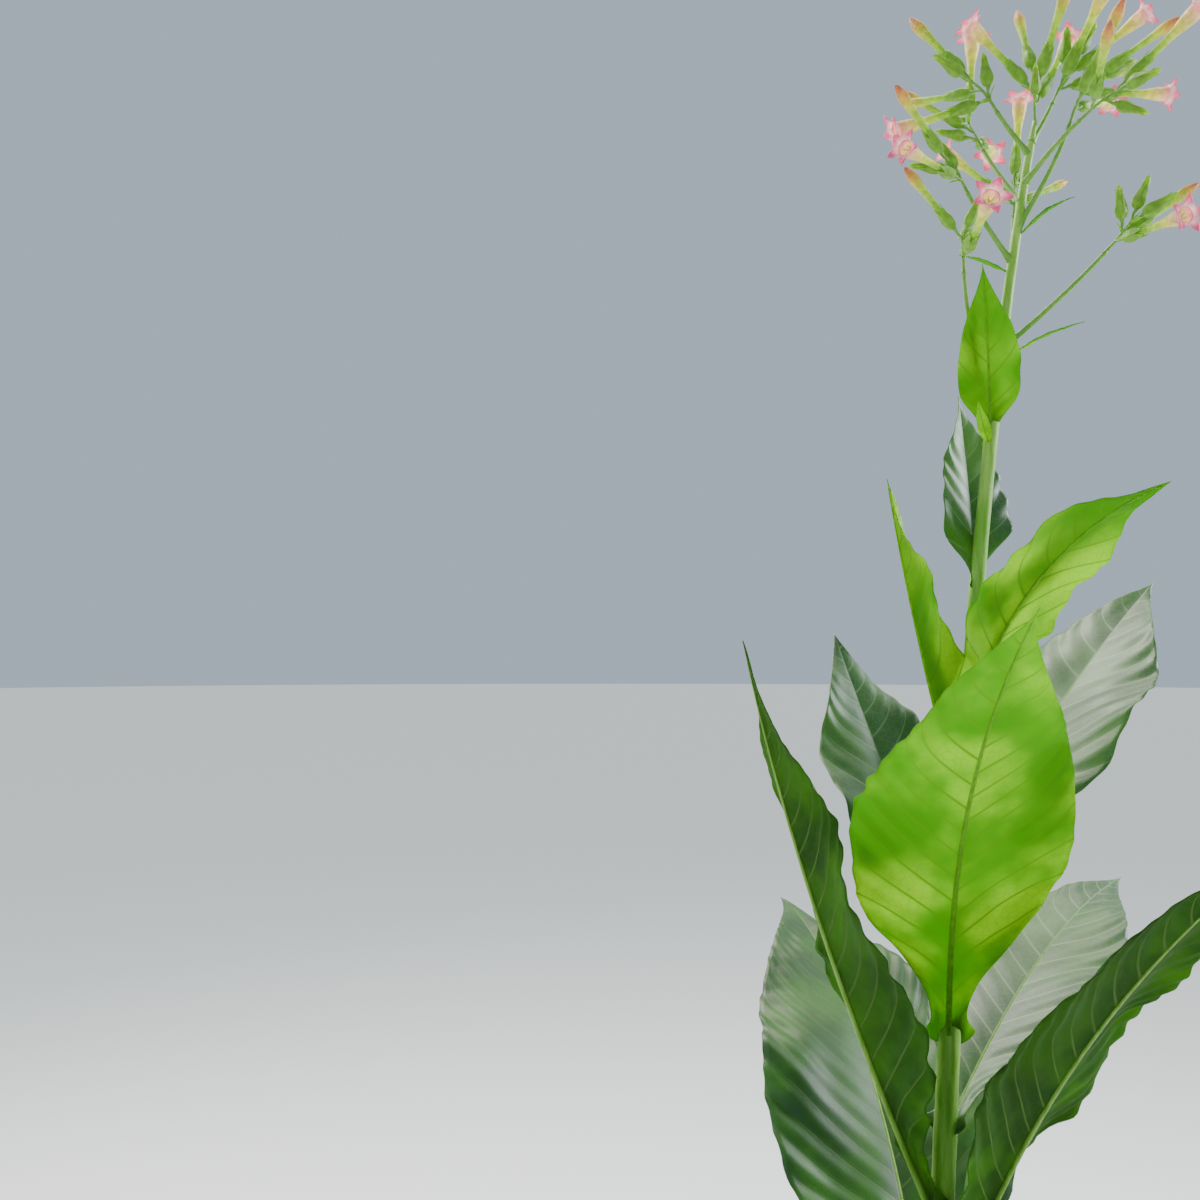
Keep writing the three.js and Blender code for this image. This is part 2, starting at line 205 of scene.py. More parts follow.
def course(start, az, length, rise, tip, steps, swing=0):
    """Places along a limb or rib: each one's point, level side and upper normal."""
    point = np.array(start, float)
    rows = []
    for i in range(steps + 1):
        s = i / steps
        turn = math.radians(az + swing * s)
        along = heading(az + swing * s, mix(rise, tip, s ** BEND_POWER))
        side = np.array([-math.sin(turn), math.cos(turn), 0])
        rows.append((point.copy(), side, np.cross(along, side)))
        point = point + along * length / steps
    return [np.array(column) for column in zip(*rows)]


def at(column, s):
    """A column of a course at shares s of its length, evenly between its places."""
    steps = len(column) - 1
    return np.stack([np.interp(s * steps, np.arange(steps + 1), column[:, i]) for i in range(3)], -1)


def rounded(points, count):
    """A smooth line through the points, with count places a stretch."""
    ends = [2 * points[0] - points[1], *points, 2 * points[-1] - points[-2]]
    line = []
    for a, b, c, d in zip(ends, ends[1:], ends[2:], ends[3:]):
        for i in range(count):
            t = i / count
            line.append(0.5 * (2 * b + (c - a) * t + (2 * a - 5 * b + 4 * c - d) * t ** 2
                               + (3 * b - a - 3 * c + d) * t ** 3))
    return np.array([*line, points[-1]])


def noise_at(x, y, z):
    """Smooth noise, about -1 to 1, at each place. Any of the three may be one number."""
    return np.array([noise.noise(Vector(place)) for place in np.broadcast(x, y, z)])


# Mesh work

# A direction in which no limb runs, to find a limb's sides from
ASIDE = (0.31, 0.95, 0.02)


def linear(code):
    """An sRGB hex colour as the linear RGBA that a shader takes."""
    parts = [int(code[i:i + 2], 16) / 255 for i in (1, 3, 5)]
    return (*[p / 12.92 if p <= 0.04045 else ((p + 0.055) / 1.055) ** 2.4 for p in parts], 1)


def only(piece):
    bpy.ops.object.select_all(action="DESELECT")
    piece.select_set(True)
    bpy.context.view_layer.objects.active = piece


def apply_modifier(piece, kind, **settings):
    only(piece)
    made = piece.modifiers.new(kind.title(), kind)
    for key, value in settings.items():
        setattr(made, key, value)
    bpy.ops.object.modifier_apply(modifier=made.name)


def grid(name, across, along, shape):
    """A grid primitive whose corners are moved to shape(u, t): u is -1 to 1 across, t 0 to 1 along."""
    bpy.ops.mesh.primitive_grid_add(x_subdivisions=across, y_subdivisions=along, size=2, calc_uvs=True)
    piece = bpy.context.object
    piece.name = piece.data.name = name
    flat = np.empty(len(piece.data.vertices) * 3, np.float32)
    piece.data.vertices.foreach_get("co", flat)
    u, t = flat.reshape(-1, 3)[:, 0].astype(float), flat.reshape(-1, 3)[:, 1] * 0.5 + 0.5
    t = np.clip(t.astype(float), 0, 1)
    piece.data.vertices.foreach_set("co", (shape(u, t) * MM).astype(np.float32).ravel())
    piece.data.update()
    return piece


def close_seams(piece, caps):
    """Joins the two long edges of a rolled grid and its poles, and fills the ends where caps is set."""
    only(piece)
    bpy.ops.object.mode_set(mode="EDIT")
    bpy.ops.mesh.select_all(action="SELECT")
    bpy.ops.mesh.remove_doubles(threshold=SEAM)
    if caps:
        bpy.ops.mesh.select_all(action="DESELECT")
        bpy.ops.mesh.select_mode(type="EDGE")
        bpy.ops.mesh.select_non_manifold(extend=False)
        bpy.ops.mesh.fill_holes(sides=0)
    bpy.ops.mesh.select_all(action="SELECT")
    bpy.ops.mesh.normals_make_consistent(inside=False)
    bpy.ops.object.mode_set(mode="OBJECT")


def rolled(name, sides, steps, shape, caps=False, wall=0.0):
    """A round piece: shape(angle, t) gives its surface in mm, and wall its thickness inwards."""
    piece = grid(name, sides, steps, lambda u, t: shape(np.pi * (u + 1), t))
    close_seams(piece, caps)
    if wall:
        apply_modifier(piece, "SOLIDIFY", thickness=wall * MM, offset=-1)
    only(piece)
    bpy.ops.object.shade_smooth()
    return piece


def limb(name, line, radii, sides):
    """A round limb along a line of points, with a radius at each."""
    way = np.gradient(line, axis=0)
    way /= np.linalg.norm(way, axis=1, keepdims=True)
    side = np.cross(way, ASIDE)
    side /= np.linalg.norm(side, axis=1, keepdims=True)
    other = np.cross(way, side)
    last = len(line) - 1

    def shape(angle, t):
        i = np.rint(t * last).astype(int)
        out = np.cos(angle)[:, None] * side[i] + np.sin(angle)[:, None] * other[i]
        return line[i] + out * radii[i][:, None]

    return rolled(name, sides, last, shape, caps=True)


def joined(name, pieces):
    """One piece made of several."""
    bpy.ops.object.select_all(action="DESELECT")
    for piece in pieces:
        piece.select_set(True)
    bpy.context.view_layer.objects.active = pieces[0]
    if len(pieces) > 1:
        bpy.ops.object.join()
    whole = bpy.context.object
    whole.name = whole.data.name = name
    return whole


def dress(piece, *looks):
    """Gives a piece the materials of these looks, in this order."""
    for look in looks:
        piece.data.materials.append(LOOKS[look])
    return piece


def finish_piece(piece, slot, *nodes):
    """Ties a finished piece to the part's body, and hides the part's nodes that it stands for. The slot is
    not used.
    """
    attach(piece, "root")
    if nodes:
        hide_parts(*nodes)


# Materials

# Settings of a range with soft ends, and of a mix of colours: 0 is its share, 6 and 7 its colours
SOFT = {"interpolation_type": "SMOOTHSTEP"}
COLOURS = {"data_type": "RGBA"}


def node(tree, kind, inputs=None, **settings):
    """Adds a shader node. An input is a value, an sRGB hex colour, or a link given as a node and
    its output's name or number."""
    made = tree.nodes.new("ShaderNode" + kind)
    for key, value in settings.items():
        setattr(made, key, value)
    for key, value in (inputs or {}).items():
        if isinstance(value, tuple) and isinstance(value[0], bpy.types.Node):
            tree.links.new(value[0].outputs[value[1]], made.inputs[key])
        else:
            made.inputs[key].default_value = linear(value) if isinstance(value, str) else value
    return made


def new_material(name):
    material = bpy.data.materials.new(name)
    material.use_nodes = True
    material.node_tree.nodes.clear()
    return material, material.node_tree


def leaf_look(name, young, old, vein, lit, lit_shaded_patch, lit_vein, through, gloss):
    """Living tobacco leaf: a thin, sticky, finely hairy blade, so it glows where light comes
    through it, shines softly like wax paper, and shows its veins and a fine net between them."""
    material, tree = new_material(name)
    places = node(tree, "TexCoord")
    # Patches of colour about 45 mm across, the tissue's own tone and, in the light that comes through,
    # partly painted shade; the net's meshes about 4 mm, the skin's grain 1 mm
    patches = node(tree, "TexNoise", {"Vector": (places, "Object"), "Scale": 22.0, "Detail": 3.0})
    net = node(tree, "TexVoronoi", {"Vector": (places, "Object"), "Scale": 240.0},
               feature="DISTANCE_TO_EDGE")
    grain = node(tree, "TexNoise", {"Vector": (places, "Object"), "Scale": 900.0, "Detail": 2.0})
    # The vein attribute counts side veins from the foot, and edge runs from midrib to margin
    count = node(tree, "Attribute", attribute_name="vein")
    edge = node(tree, "Attribute", attribute_name="edge")
    step = node(tree, "Math", {0: (count, "Fac")}, operation="FRACT")
    off = node(tree, "Math", {0: (step, 0), 1: 0.5}, operation="SUBTRACT")
    near = node(tree, "Math", {0: (off, 0)}, operation="ABSOLUTE")
    thinning = node(tree, "Math", {0: (edge, "Fac"), 1: -0.03, 2: (near, 0)}, operation="MULTIPLY_ADD")
    side_veins = node(tree, "MapRange", {"Value": (thinning, 0), "From Min": 0.43, "From Max": 0.47}, **SOFT)
    # The rib attribute is 0 on the midrib and 1 where its side ends
    rib = node(tree, "Attribute", attribute_name="rib")
    midrib_line = node(tree, "MapRange", {"Value": (rib, "Fac"), "From Min": 0.55, "From Max": 1.1,
                                          "To Min": 1.0, "To Max": 0.0}, **SOFT)
    net_lines = node(tree, "MapRange", {"Value": (net, "Distance"), "From Min": 0.0, "From Max": 0.09,
                                        "To Min": 0.3, "To Max": 0.0}, **SOFT)
    veins = node(tree, "Math", {0: (side_veins, "Result"), 1: (midrib_line, "Result")}, operation="MAXIMUM")
    lines = node(tree, "Math", {0: (veins, 0), 1: (net_lines, "Result")}, operation="MAXIMUM")
    mottle = node(tree, "MapRange", {"Value": (patches, "Fac"), "From Min": 0.35, "From Max": 0.65}, **SOFT)
    tissue = node(tree, "Mix", {0: (mottle, "Result"), 6: young, 7: old}, **COLOURS)
    colour = node(tree, "Mix", {0: (lines, 0), 6: (tissue, 2), 7: vein}, **COLOURS)
    # The light through the leaf follows the same patches, its second colour darker partly as painted shade
    # of sun and shadow
    lit_tissue_shaded = node(tree, "Mix", {0: (mottle, "Result"), 6: lit, 7: lit_shaded_patch}, **COLOURS)
    glow = node(tree, "Mix", {0: (lines, 0), 6: (lit_tissue_shaded, 2), 7: lit_vein}, **COLOURS)
    height = node(tree, "Math", {0: (lines, 0), 1: -0.6, 2: (grain, "Fac")}, operation="MULTIPLY_ADD")
    relief = node(tree, "Bump", {"Height": (height, 0), "Strength": 0.35, "Distance": 0.0004})
    skin = node(tree, "BsdfPrincipled", {"Base Color": (colour, 2), "Roughness": mix(0.65, 0.4, gloss),
                                         "IOR": 1.42, "Specular IOR Level": mix(0.25, 0.5, gloss),
                                         "Coat Weight": gloss, "Coat Roughness": 0.5, "Coat IOR": 1.65,
                                         "Sheen Weight": 0.1 * gloss, "Sheen Roughness": 0.4,
                                         "Normal": (relief, "Normal")})
    inside = node(tree, "BsdfTranslucent", {"Color": (glow, 2)})
    leaf = node(tree, "MixShader", {0: through, 1: (skin, 0), 2: (inside, 0)})
    node(tree, "OutputMaterial", {"Surface": (leaf, 0)})
    return material


def stem_look(name, green, pale, foot, streak_scale=0.12, depth=0.0005):
    """Green herbaceous stem: fleshy, ribbed and covered in short sticky hairs, which give it
    a pale soft rim. It turns tan and dull where it is oldest, near the ground."""
    material, tree = new_material(name)
    places = node(tree, "TexCoord")
    long_way = node(tree, "Mapping", {"Vector": (places, "Object"), "Scale": (1, 1, streak_scale)})
    # Streaks 3 mm apart and drawn out along the stem, and a grain of hair roots 1 mm apart
    streaks = node(tree, "TexNoise", {"Vector": (long_way, "Vector"), "Scale": 320.0, "Detail": 3.0})
    grain = node(tree, "TexNoise", {"Vector": (places, "Object"), "Scale": 950.0, "Detail": 1.0})
    parts = node(tree, "SeparateXYZ", {0: (places, "Object")})
    aged = node(tree, "MapRange", {"Value": (parts, "Z"), "From Min": 0.02, "From Max": 0.55,
                                   "To Min": 0.85, "To Max": 0.0}, **SOFT)
    striped = node(tree, "MapRange", {"Value": (streaks, "Fac"), "From Min": 0.35, "From Max": 0.65}, **SOFT)
    living = node(tree, "Mix", {0: (striped, "Result"), 6: green, 7: pale}, **COLOURS)
    colour = node(tree, "Mix", {0: (aged, "Result"), 6: (living, 2), 7: foot}, **COLOURS)
    height = node(tree, "Math", {0: (streaks, "Fac"), 1: (grain, "Fac")}, operation="ADD")
    relief = node(tree, "Bump", {"Height": (height, 0), "Strength": 0.4, "Distance": depth})
    skin = node(tree, "BsdfPrincipled", {"Base Color": (colour, 2), "Roughness": 0.5, "IOR": 1.42,
                                         "Sheen Weight": 0.2, "Sheen Roughness": 0.35,
                                         "Normal": (relief, "Normal")})
    node(tree, "OutputMaterial", {"Surface": (skin, 0)})
    return material


def petal_look(name, colour, lit, through):
    """Petal, calyx or twig: thin moist tissue, satin and finely hairy, which lets light through
    in its own colour, with cells and veins too small to see one by one that make it uneven."""
    material, tree = new_material(name)
    places = node(tree, "TexCoord")
    # Tissue patches about 3 mm across, and a grain of fine hairs 0.5 mm apart
    tissue = node(tree, "TexNoise", {"Vector": (places, "Object"), "Scale": 320.0, "Detail": 3.0})
    hairs = node(tree, "TexNoise", {"Vector": (places, "Object"), "Scale": 2000.0, "Detail": 1.0})
    shade = node(tree, "MapRange", {"Value": (tissue, "Fac"), "From Min": 0.3, "From Max": 0.7,
                                    "To Min": 0.86, "To Max": 1.14}, **SOFT)
    tint = node(tree, "HueSaturation", {"Color": colour, "Value": (shade, "Result")})
    lit_tint = node(tree, "HueSaturation", {"Color": lit, "Value": (shade, "Result")})
    relief = node(tree, "Bump", {"Height": (hairs, "Fac"), "Strength": 0.3, "Distance": 0.0002})
    skin = node(tree, "BsdfPrincipled", {"Base Color": (tint, "Color"), "Roughness": 0.45, "IOR": 1.4,
                                         "Sheen Weight": 0.25, "Sheen Roughness": 0.4,
                                         "Normal": (relief, "Normal")})
    inside = node(tree, "BsdfTranslucent", {"Color": (lit_tint, "Color"), "Normal": (relief, "Normal")})
    whole = node(tree, "MixShader", {0: through, 1: (skin, 0), 2: (inside, 0)})
    node(tree, "OutputMaterial", {"Surface": (whole, 0)})
    return material


def ramp(codes, t):
    """The hex colour at share t of a run of hex colours."""
    place = t * (len(codes) - 1)
    i = min(int(place), len(codes) - 2)
    parts = [mix(int(codes[i][k:k + 2], 16), int(codes[i + 1][k:k + 2], 16), place - i) for k in (1, 3, 5)]
    return "#" + "".join(f"{round(part):02x}" for part in parts)


def shades(name, finish, colours, lit, count, through):
    """Materials in even steps from one end of a run of colours to the other."""
    for k in range(count):
        t = k / (count - 1)
        LOOKS[f"{name}_{k}"] = petal_look(f"{finish}_{k + 1}", ramp(colours, t), ramp(lit, t), through)


# A leaf's colours are those of young tissue, old tissue and veins, then the same with the light behind it,
# where the second, for the old tissue's patches, is darker partly as painted shade. The last two numbers are
# the share of light that comes through and the waxy gloss, which only upper sides have.
LOOKS = {
    # Young upper leaves: thin and waxy, lime green with the light behind them
    "fresh": leaf_look("leaf_blade_fresh", "#46860e", "#34720c", "#6ca02c",
                       "#ccf400", "#80c800", "#84b800", 0.6, 0.9),
    "fresh_under": leaf_look("leaf_underside_fresh", "#5a8c08", "#487a06", "#70a020",
                             "#ccf400", "#80c800", "#84b800", 0.6, 0.0),
    # Leaves that the light falls on from above rather than through: a darker, greyer, less see-through copy
    # of the fresh look, whose colours are painted shade; their silvery shine comes from the coat's gloss
    # under the lamps
    "grey_shaded": leaf_look("leaf_blade_grey_painted_shade", "#386430", "#2a5226", "#6a8c5c",
                        "#7cac10", "#58900c", "#6c9420", 0.3, 0.65),
    "grey_shaded_under": leaf_look("leaf_underside_grey_painted_shade", "#5a8418", "#4a7614", "#70982c",
                              "#b4dc08", "#7cb400", "#84ac08", 0.5, 0.0),
    # Full-grown leaves: thicker and deep green, paler below, and darker still as painted shade for the shade
    # that the leaves above cast on them
    "deep": leaf_look("leaf_blade_deep_painted_shade", "#2a6010", "#1f4e0c", "#527e2a",
                      "#90c800", "#509000", "#3c6c00", 0.5, 0.9),
    "deep_under": leaf_look("leaf_underside_deep_painted_shade", "#325e0c", "#264e0a", "#648c34",
                            "#80b400", "#488400", "#366400", 0.5, 0.0),
    # The oldest leaves: dull, and turning yellow in patches
    "old": leaf_look("leaf_blade_yellowing", "#86961c", "#54781a", "#bab85a",
                     "#ccd00c", "#8ca808", "#7c8008", 0.5, 0.5),
    "old_under": leaf_look("leaf_underside_yellowing", "#8c9834", "#6c822a", "#b0b264",
                           "#ccd00c", "#8ca808", "#7c8008", 0.5, 0.0),
    # Stem and ribs: firm and hairy. A thin bough has finer streaks and almost no relief.
    "rib": stem_look("leaf_midrib_green", "#6c9e28", "#84b040", "#98a850"),
    "fresh_rib": petal_look("leaf_midrib_fresh", "#74a81c", "#b8e408", 0.5),
    "stem": stem_look("stem_green_hairy", "#72ac2c", "#94c054", "#908c48"),
    "bough": stem_look("bough_green_hairy", "#669c34", "#78a842", "#908c48", 0.6, 0.00004),
    # The blossom's green and cream parts: soft, hairy and partly see-through
    "twig": petal_look("twig_green", "#74a440", "#a0cc48", 0.15),
    "calyx": petal_look("calyx_green", "#8cb840", "#c4ec3c", 0.45),
    "anther": petal_look("anther_cream", "#f0e8c0", "#f8f0c8", 0.2),
}

# The corolla's colours: a tube from its green foot to its rosy mouth, a bud to its red tip, and
# the flower's star from its pale middle to its pink points, each first in plain light and then
# with the light behind it
TUBE_SHADES = 16
BUD_SHADES = 16
STAR_SHADES = 7
shades("tube", "corolla_tube", ["#a8cc38", "#b8d848", "#cce058", "#dce468", "#e8e884", "#f4e4b4", "#f2b0b8"],
       ["#ccf034", "#d8f440", "#e8f858", "#f4f870", "#fcf490", "#fff0c4", "#ffb8c8"], TUBE_SHADES, 0.55)
shades("bud", "corolla_bud", ["#a8cc38", "#b4d444", "#c4dc50", "#d0e058", "#dcd860", "#dcb068", "#cc7c6c"],
       ["#ccf034", "#d4f440", "#e4f850", "#ecf85c", "#f8e864", "#f6c06c", "#e8846c"], BUD_SHADES, 0.5)
shades("star", "corolla_limb", ["#f8e4dc", "#f6c8d0", "#ee9cb8", "#e67ea4", "#e2749e"],
       ["#fff0e4", "#ffd4d8", "#ffacc4", "#ff92b4", "#ff86ac"], STAR_SHADES, 0.5)


# Leaves

# Rows and columns of a blade, and how its rows climb with the side veins
COURSE_STEPS = 96
BLADE_COLUMNS = 44
SMALL_BLADE_COLUMNS = 12
COLUMN_POWER = 1.25
VEIN_SPACING = 17
FEWEST_VEINS = 8
ROWS_A_VEIN = 7
VEIN_RISE = 0.2
VEIN_BOW = 5.2
EAR_ROUND = 0.018
EAR_ROUND_REACH = 0.02

# Side veins stray from even steps, and those of the right half start between those of the left
VEIN_STRAY = 0.22
VEIN_STRAY_TURNS = 9
VEIN_OFFSET = 0.45

# Uneven form, as shares of the width or of the veins' spacing: the margin's notches every 9 mm
# and its scallops, the tissue's bulges, the edge's ruffles, long soft waves and the clasping ears
NOTCH = 0.035
NOTCH_LENGTH = 9
SCALLOP = 0.006
BULGE = 0.055
RUFFLES = (0.05, 0.08, 0.1)
SOFT_WAVE = 0.05
CLASP = 0.07
CLASP_REACH = 0.06
SMOOTH_UNDER = 0.6
TIP_WELD = 0.28
THINNEST = 0.35
THICKNESS_SHARE = 0.0016

# The midrib's radius as a share of the leaf's length, its thinnest part and how it tapers
RIB_SHARE = 0.0052
RIB_THREAD = 0.2
RIB_TAPER = 0.85
RIB_LINE_TAPER = 0.6
RIB_END = 0.97
RIB_PLACES = 60
RIB_SUNK = 0.55
RIB_SIDES = 10

# Which leaves, counted from the top, have each look: those that the light falls on from above have the grey
# look of painted shade, the upper ones fresh, the middle ones deep green, darkened partly as painted shade,
# and the lowest ones yellowing
GREY_SHADED = (2, 5, 6, 8)
LAST_FRESH = 8
LAST_DEEP_SHADED = 19


def blade_outline(s, shift):
    body = np.sin(np.pi * s ** shift) ** (DRAWN_OUT[0] + DRAWN_OUT[1] * s)
    opening = ease(*WING_ENDS, s)
    foot = PETIOLE_WING * (1 - opening) + EAR * np.exp(-(s / EAR_LENGTH) ** 2)
    return np.maximum(body * opening + foot, TIP_WIDTH)


def blade(name, leaf, start, columns, tone, rough=1.0):
    """A leaf's blade. Its rows follow the side veins up from the midrib, the tissue bulges
    between them, and the margin is finely waved."""
    points, sides, ups = course(start, leaf["az"], leaf["length"], leaf["rise"], leaf["tip"],
                                COURSE_STEPS, leaf["swing"])
    pairs = max(FEWEST_VEINS, round(leaf["length"] / VEIN_SPACING))
    spacing = leaf["length"] / pairs
    phase = leaf["phase"]
    width = leaf["width"]
    fold = math.radians(leaf["fold"])
    marks = {}

    def shape(u, t):
        # v runs from the right margin, -1, to the left, and s is the share of the length
        v = -np.sign(u) * np.abs(u) ** COLUMN_POWER
        edge = np.abs(v)
        climb = VEIN_RISE * edge * (0.75 + 0.25 * edge)
        s = t + climb * VEIN_BOW * t * (1 - t) ** 1.5 + EAR_ROUND * edge ** 2.5 * np.exp(
            -(t / EAR_ROUND_REACH) ** 2)
        s = np.clip(s, 0, 1)
        room = np.clip(1 + climb * VEIN_BOW * (1 - t) ** 0.5 * (1 - 2.5 * t), 0.15, 1.3)
        vein = t * pairs + VEIN_STRAY * np.sin(VEIN_STRAY_TURNS * t + phase) + np.where(
            v > 0, 0.0, VEIN_OFFSET)

        # How strong the uneven form is here: none at the foot, at the tip and on the midrib
        dome = 0.5 - 0.5 * np.cos(2 * np.pi * vein)
        broad = blade_outline(s, leaf["broadest"])
        narrowing = np.where(s > 0.5, np.clip(broad / SMOOTH_UNDER, 0, 1), 1)
        inner = ease(0.0, 0.1, s) * ease(1.0, 0.8, s) * room * narrowing
        uneven = noise_at(np.sign(v) * 3, s * leaf["length"] / NOTCH_LENGTH, phase * 2.3)
        soft = noise_at(v * width / 60 * 0.9 + phase, s * leaf["length"] / 100 * 2.4, phase * 1.7)

        # Out from the midrib
        margin = rough * NOTCH * uneven * np.minimum(inner, 1) + SCALLOP * (dome - 0.6) * inner
        half = 0.5 * width * broad * (1 + margin * edge ** 3)
        out = half * v

        # Up from the blade's plane
        wave = np.sin(2 * np.pi * leaf["waves"] * s + np.where(v > 0, 0, SIDE_PHASE) + phase)
        ripple = leaf["ripple"] * width * edge ** 1.5 * np.sin(np.pi * s) ** 0.5 * wave
        curl = -CURL * half * v * v
        bulge = rough * BULGE * spacing * dome * inner * (0.35 + 0.65 * edge) * np.minimum(edge * 6, 1)
        ruffle = rough * inner * spacing * edge ** 3 * (
            RUFFLES[0] * (dome - 0.5) + RUFFLES[1] * np.sin(0.6 * np.pi * vein + phase + 1.3)
            + RUFFLES[2] * uneven)
        lift = np.abs(out) * math.sin(fold) + ripple + curl + bulge + ruffle
        lift += SOFT_WAVE * width * soft * edge * np.minimum(inner, 1)
        lift += CLASP * width * edge ** 2 * np.exp(-(s / CLASP_REACH) ** 2)

        # What the material draws veins from
        rib = RIB_SHARE * leaf["length"] * (1 - s) ** RIB_LINE_TAPER + RIB_THREAD
        marks.update(vein=vein, edge=edge, rib=np.abs(out) / rib)

        roll = np.radians(leaf["roll"]) * s ** ROLL_POWER
        place, side, up = at(points, s), at(sides, s), at(ups, s)
        across = side * np.cos(roll)[:, None] + up * np.sin(roll)[:, None]
        upper = up * np.cos(roll)[:, None] - side * np.sin(roll)[:, None]
        return place + across * (out * math.cos(fold))[:, None] + upper * lift[:, None]

    piece = grid(name, columns, pairs * ROWS_A_VEIN, shape)
    for key, values in marks.items():
        mark = piece.data.attributes.new(key, "FLOAT", "POINT")
        mark.data.foreach_set("value", values.astype(np.float32))
    dress(piece, tone, tone + "_under")
    apply_modifier(piece, "WELD", merge_threshold=TIP_WELD * MM)
    thickness = max(THINNEST, THICKNESS_SHARE * leaf["length"]) * MM
    apply_modifier(piece, "SOLIDIFY", thickness=thickness, offset=0, material_offset=1,
                   material_offset_rim=1)
    only(piece)
    bpy.ops.object.shade_smooth()
    return piece


def midrib(name, leaf, start):
    """The rib under a leaf: thick at the foot, a thread at the tip."""
    points, _, ups = course(start, leaf["az"], leaf["length"], leaf["rise"], leaf["tip"],
                            COURSE_STEPS, leaf["swing"])
    share = np.linspace(0, RIB_END, RIB_PLACES)
    radii = RIB_SHARE * leaf["length"] * (1 - share) ** RIB_TAPER + RIB_THREAD
    line = at(points, share) - at(ups, share) * (RIB_SUNK * radii)[:, None]
    return limb(name, line, radii, RIB_SIDES)


def all_leaves():
    """Every leaf's sizes and angles: the upper ones as given, the lower ones by the seeded rule."""
    random = numbers(RANDOM_SEED)

    def between(three, t):
        top, middle, foot = three
        return mix(top, middle, 2 * t) if t < 0.5 else mix(middle, foot, 2 * t - 1)

    leaves = [dict(zip(LEAF_KEYS, row)) for row in UPPER_LEAVES]
    for i in range(LOWER_LEAVES):
        t = i / (LOWER_LEAVES - 1)
        leaf = {"z": mix(LOWER_TOP, LOWER_FOOT, t), "az": LOWER_AZIMUTH + GOLDEN_ANGLE * i,
                "length": between(LOWER_LENGTHS, t), "width": between(LOWER_WIDTHS, t),
                "rise": mix(*LOWER_RISES, t), "tip": mix(*LOWER_TIPS, t), "swing": 0, "roll": 0}
        for key in leaf:
            leaf[key] += (next(random) - 0.5) * 2 * LOWER_JITTER[key]
        leaf["fold"] = mix(*LOWER_FOLDS, next(random))
        leaf["broadest"] = BROADEST_SHIFT
        leaves.append(leaf)
    for i, leaf in enumerate(leaves):
        leaf["ripple"] = RIPPLE
        leaf["waves"] = LONG_LEAF_WAVES if leaf["length"] > LONG_LEAF else SHORT_LEAF_WAVES
        leaf["phase"] = PHASE_STEP * i
    return leaves


def leaf_tone(i):
    # Leaves that the light falls on from above get the grey look, which is painted shade
    if i in GREY_SHADED:
        return "grey_shaded"
    # The deep green look below the fresh leaves is darkened partly as painted shade
    return "fresh" if i <= LAST_FRESH else "deep" if i <= LAST_DEEP_SHADED else "old"


LEAVES = all_leaves()
for i, leaf in enumerate(LEAVES, 1):
    start = stem_centre(leaf["z"])
    piece = blade(f"blade_{i:02d}", leaf, start, BLADE_COLUMNS, leaf_tone(i))
    finish_piece(piece, "leaf", f"leaf_{i:02d}")
    rib_look = "fresh_rib" if i <= LAST_FRESH else "rib"
    finish_piece(dress(midrib(f"midrib_{i:02d}", leaf, start), rib_look), "leaf")

for name, z, az, length, width, rise, tip in BRACTS:
    leaf = {"az": az, "length": length, "width": width, "rise": rise, "tip": tip, "swing": 0, "roll": 0,
            "fold": PLAIN_FOLD, "broadest": BROADEST_SHIFT, "ripple": 0, "waves": 0, "phase": 0}
    piece = blade(f"small_leaf_{name}", leaf, stem_centre(z), SMALL_BLADE_COLUMNS, "fresh", rough=0.5)
    finish_piece(piece, "leaf", f"bract_{name}")


# Stem and boughs

# The stem's grid, with its rows nearer each other at the ground
STEM_SIDES = 40
STEM_ROWS = 460
STEM_ROW_POWER = 1.15

# Swellings where leaves grow, the ribs that run down from them, and uneven growth, as shares of
# the stem's radius with their reach in mm
SWELL = 0.05
SWELL_REACH = 9
RIB = 0.07
RIB_DOWN = 70
RIB_UP = 5
RIB_NARROWNESS = 4
UNEVEN = 0.03
UNEVEN_TURNS = 1.4
UNEVEN_LENGTH = 60

# How the stem thins in the head, and closes at its tip
HEAD = (1380, 1560)
HEAD_THINNING = 0.15
TIP_LENGTH = 16
TIP_CLOSING = 0.36


def stem():
    """The stem, swollen a little under each leaf, with shallow ribs that run down from the leaves."""
    feet = np.array([leaf["z"] for leaf in LEAVES] + [row[1] for row in BOUGHS])
    turns = np.radians([leaf["az"] for leaf in LEAVES] + [row[2] for row in BOUGHS])

    def shape(angle, t):
        z = STEM_TOP * t ** STEM_ROW_POWER
        base = stem_radius(z)
        swell = np.zeros_like(z)
        for foot, turn in zip(feet, turns):
            below = z - foot
            ring = np.exp(-(below / SWELL_REACH) ** 2)
            rib = np.where(below < 0, np.exp(below / RIB_DOWN), np.exp(-below / RIB_UP))
            narrow = np.exp(RIB_NARROWNESS * (np.cos(angle - turn) - 1))
            swell += SWELL * base * ring + RIB * base * rib * narrow
        uneven = noise_at(np.cos(angle) * UNEVEN_TURNS, np.sin(angle) * UNEVEN_TURNS, z / UNEVEN_LENGTH)
        thin = 1 - HEAD_THINNING * ease(*HEAD, z)
        closing = thin * (1 - TIP_CLOSING * ease(STEM_TOP - TIP_LENGTH, STEM_TOP, z))
        radius = (base + swell + UNEVEN * base * uneven) * closing
        return stem_centre(z) + np.stack([radius * np.cos(angle), radius * np.sin(angle), 0 * z], -1)

    return rolled("stem_of_plant", STEM_SIDES, STEM_ROWS, shape, caps=True)


finish_piece(dress(stem(), "stem"), "stem", "stem")

# A bough is thicker where it leaves the stem
BOUGH_SMOOTHING = 6
BOUGH_SIDES = 14
BOUGH_FOOT = 0.9
BOUGH_FOOT_REACH = 0.12

